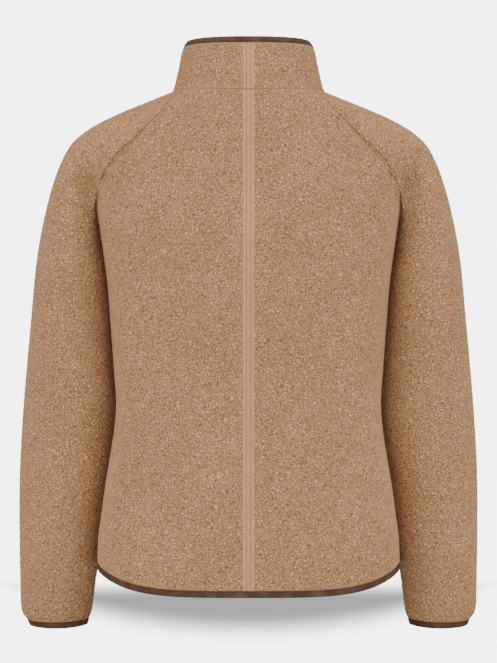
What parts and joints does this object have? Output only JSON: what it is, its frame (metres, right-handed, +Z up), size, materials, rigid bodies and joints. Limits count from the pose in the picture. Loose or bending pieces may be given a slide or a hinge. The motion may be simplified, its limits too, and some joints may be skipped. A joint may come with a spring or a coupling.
{
  "type": "pullover",
  "caption": "Hollow long-sleeved pile fleece pullover with raglan sleeves, a stand-up collar, a centre back seam and bound collar, hem and cuffs.",
  "frame": {"origin": "middle of the neckline, at the height of the collar seam at the centre back, where the wearer's neck and shoulders hold the pullover", "axes": "+Z up, +Y towards the wearer's back, +X towards the wearer's left"},
  "size_m": [0.645, 0.2509, 0.8173],
  "materials": {
    "pile_cloth": "curly sherpa pile, matt",
    "binding": "smooth knitted tape, matt"
  },
  "bodies": {
    "root": {"back_left": "pile_cloth", "back_right": "pile_cloth", "front": "pile_cloth", "sleeve_left": "pile_cloth", "sleeve_right": "pile_cloth", "collar": "pile_cloth", "collar_binding": "binding", "hem_binding": "binding", "cuff_binding_left": "binding", "cuff_binding_right": "binding"}
  },
  "joints": []
}
